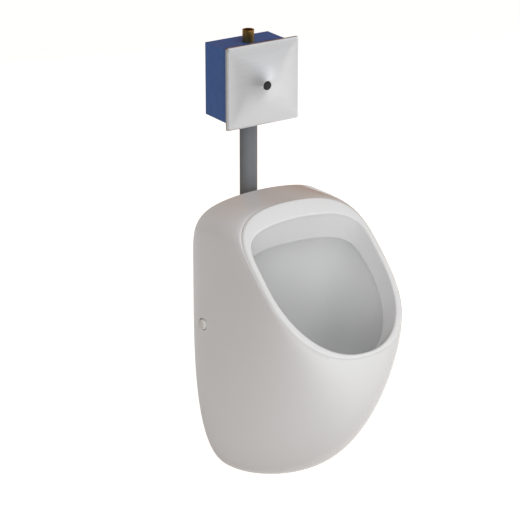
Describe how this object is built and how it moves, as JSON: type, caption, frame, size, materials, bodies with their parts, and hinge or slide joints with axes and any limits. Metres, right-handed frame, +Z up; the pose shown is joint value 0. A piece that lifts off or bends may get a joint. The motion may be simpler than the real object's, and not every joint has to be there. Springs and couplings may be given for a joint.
{
  "type": "wall-hung urinal",
  "caption": "Wall-hung ceramic urinal with tilted oval mouth, side-fixed brackets, trap, and concealed sensor flush valve behind a square pressed-steel plate.",
  "frame": {"origin": "centre of the four wall screws, on the wall plane", "axes": "+Z up, -Y out of the wall towards the user, X left to right along the wall, and the bowl is symmetric about X = 0"},
  "size_m": [0.29, 0.4191, 0.824],
  "materials": {
    "china": "glossy white glaze",
    "zinc_steel": "zinc-plated steel",
    "stainless": "brushed stainless steel",
    "chrome": "bright chrome plate",
    "brass": "machined brass",
    "cap_plastic": "glossy white plastic",
    "white_plastic": "moulded white plastic",
    "black_plastic": "moulded black plastic",
    "grey_plastic": "moulded grey plastic",
    "blue_plastic": "moulded blue plastic",
    "lens": "polished dark window",
    "seal_rubber": "moulded rubber",
    "seat_polymer": "low-friction seat polymer",
    "cell_wrap": "plain wrapped cell"
  },
  "bodies": {
    "urinal": {"bowl": "china", "bracket_left": "zinc_steel", "bracket_right": "zinc_steel", "side_screw_left": "zinc_steel", "side_screw_right": "zinc_steel", "side_sleeve_left": "white_plastic", "side_sleeve_right": "white_plastic", "wall_screws": "zinc_steel", "wall_washers": "zinc_steel", "waste_body": "chrome", "waste_seal_upper": "seal_rubber", "waste_seal_lower": "seal_rubber", "waste_nut": "white_plastic", "trap_body": "white_plastic", "trap_seal": "seal_rubber", "outlet_pipe": "grey_plastic", "outlet_seal": "seal_rubber", "inlet_spud": "brass", "inlet_seal": "seal_rubber", "inlet_nut": "brass", "spreader": "chrome", "flush_pipe": "grey_plastic", "flush_pipe_nut": "brass", "spud_nut": "white_plastic", "wall_box": "blue_plastic", "box_gland": "seal_rubber", "supply_nipple": "brass", "valve_body": "brass", "ball_seats": "seat_polymer", "spindle_gland": "brass", "solenoid_bonnet": "stainless", "plunger_spring": "stainless", "solenoid_coil": "black_plastic", "mounting_frame": "black_plastic", "lock_tab": "zinc_steel", "frame_screws": "zinc_steel", "sensor_module": "black_plastic", "sensor_window": "lens", "sensor_lead": "seal_rubber", "battery_case": "black_plastic", "batteries": "cell_wrap"},
    "cap_left": {"cap_left": "cap_plastic"},
    "cap_right": {"cap_right": "cap_plastic"},
    "strainer": {"waste_strainer": "stainless"},
    "plate": {"flush_plate": "stainless", "sensor_bezel": "chrome", "plate_hanger": "stainless", "lock_block": "stainless"},
    "lock_screw": {"lock_screw": "stainless"},
    "stop_valve": {"stop_spindle": "brass"},
    "stop_ball": {"stop_ball": "chrome"},
    "regulator": {"flow_regulator": "brass"},
    "plunger": {"solenoid_plunger": "stainless"},
    "valve_disc": {"valve_disc": "seal_rubber"},
    "battery_lid": {"battery_lid": "grey_plastic"}
  },
  "joints": [
    {"name": "cap_left_pull", "type": "slide", "parent": "urinal", "child": "cap_left", "axis": [-1, 0, 0], "range_m": [0, 0.02]},
    {"name": "cap_right_pull", "type": "slide", "parent": "urinal", "child": "cap_right", "axis": [1, 0, 0], "range_m": [0, 0.02]},
    {"name": "strainer_lift", "type": "slide", "parent": "urinal", "child": "strainer", "axis": [0, 0, 1], "range_m": [0, 0.06]},
    {"name": "plate_swing", "type": "hinge", "parent": "urinal", "child": "plate", "pos_m": [0, -0.0042, 0.4891], "axis": [-1, 0, 0], "range_deg": [0, 45]},
    {"name": "lock_screw_travel", "type": "slide", "parent": "plate", "child": "lock_screw", "axis": [0, 0, 1], "range_m": [0, 0.004]},
    {"name": "stop_turn", "type": "hinge", "parent": "urinal", "child": "stop_valve", "pos_m": [0, 0.02, 0.4516], "axis": [0, 1, 0], "range_deg": [0, 90]},
    {"name": "ball_turn", "type": "hinge", "parent": "urinal", "child": "stop_ball", "pos_m": [0, 0.04, 0.4516], "axis": [0, 1, 0], "range_deg": [0, 90]},
    {"name": "regulator_turn", "type": "hinge", "parent": "urinal", "child": "regulator", "pos_m": [0, 0.025, 0.3796], "axis": [0, 1, 0], "range_deg": [0, 270]},
    {"name": "plunger_stroke", "type": "slide", "parent": "urinal", "child": "plunger", "axis": [1, 0, 0], "range_m": [0, 0.003], "stiffness_N_per_m": 220, "springref_m": -0.006, "deforming": ["plunger_spring"]},
    {"name": "disc_lift", "type": "slide", "parent": "urinal", "child": "valve_disc", "axis": [1, 0, 0], "range_m": [0, 0.003]},
    {"name": "battery_lid_pull", "type": "slide", "parent": "urinal", "child": "battery_lid", "axis": [0, 1, 0], "range_m": [0, 0.012]}
  ],
  "couplings": [
    {"joint": "ball_turn", "follows": "stop_turn", "ratio": 1},
    {"joint": "disc_lift", "follows": "plunger_stroke", "ratio": 1}
  ]
}
